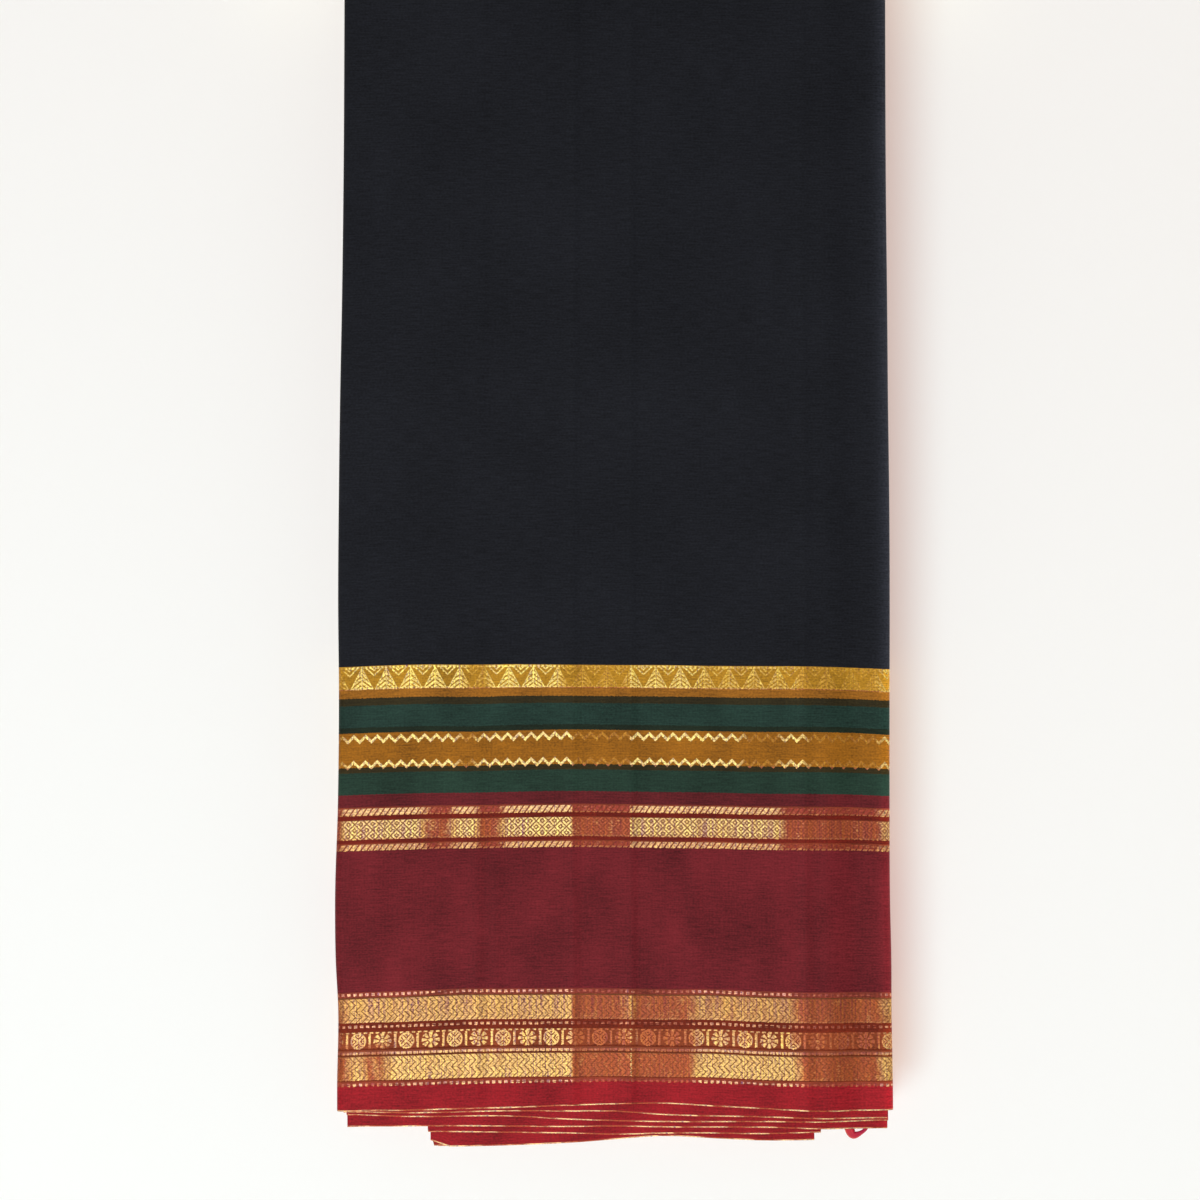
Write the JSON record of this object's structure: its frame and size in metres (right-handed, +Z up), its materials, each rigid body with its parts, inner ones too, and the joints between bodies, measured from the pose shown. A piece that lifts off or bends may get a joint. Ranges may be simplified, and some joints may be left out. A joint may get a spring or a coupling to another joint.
{
  "type": "folded saree on a hanging rod",
  "caption": "Long black saree with a striped, brocaded red border, folded into a narrow stack and hung by its middle over a plain round rod.",
  "frame": {"origin": "middle of the rod that holds the saree up", "axes": "+X to the viewer's right along the rod, +Y away from the viewer, +Z up; the bordered selvedges hang down on both sides of the rod"},
  "size_m": [0.36, 0.0533, 0.5927],
  "materials": {
    "saree_cloth": "plain-woven cotton and silk, matt, with metallic thread in the border",
    "border_cloth": "plain-woven red selvedge, slightly silky",
    "rod_wood": "pale turned wood, satin"
  },
  "bodies": {
    "root": {"leaf_1": "saree_cloth", "leaf_2": "saree_cloth", "leaf_3": "saree_cloth", "leaf_4": "saree_cloth", "leaf_5": "saree_cloth", "leaf_6": "saree_cloth", "selvedge_curl": "border_cloth", "hanging_rod": "rod_wood"}
  },
  "joints": []
}
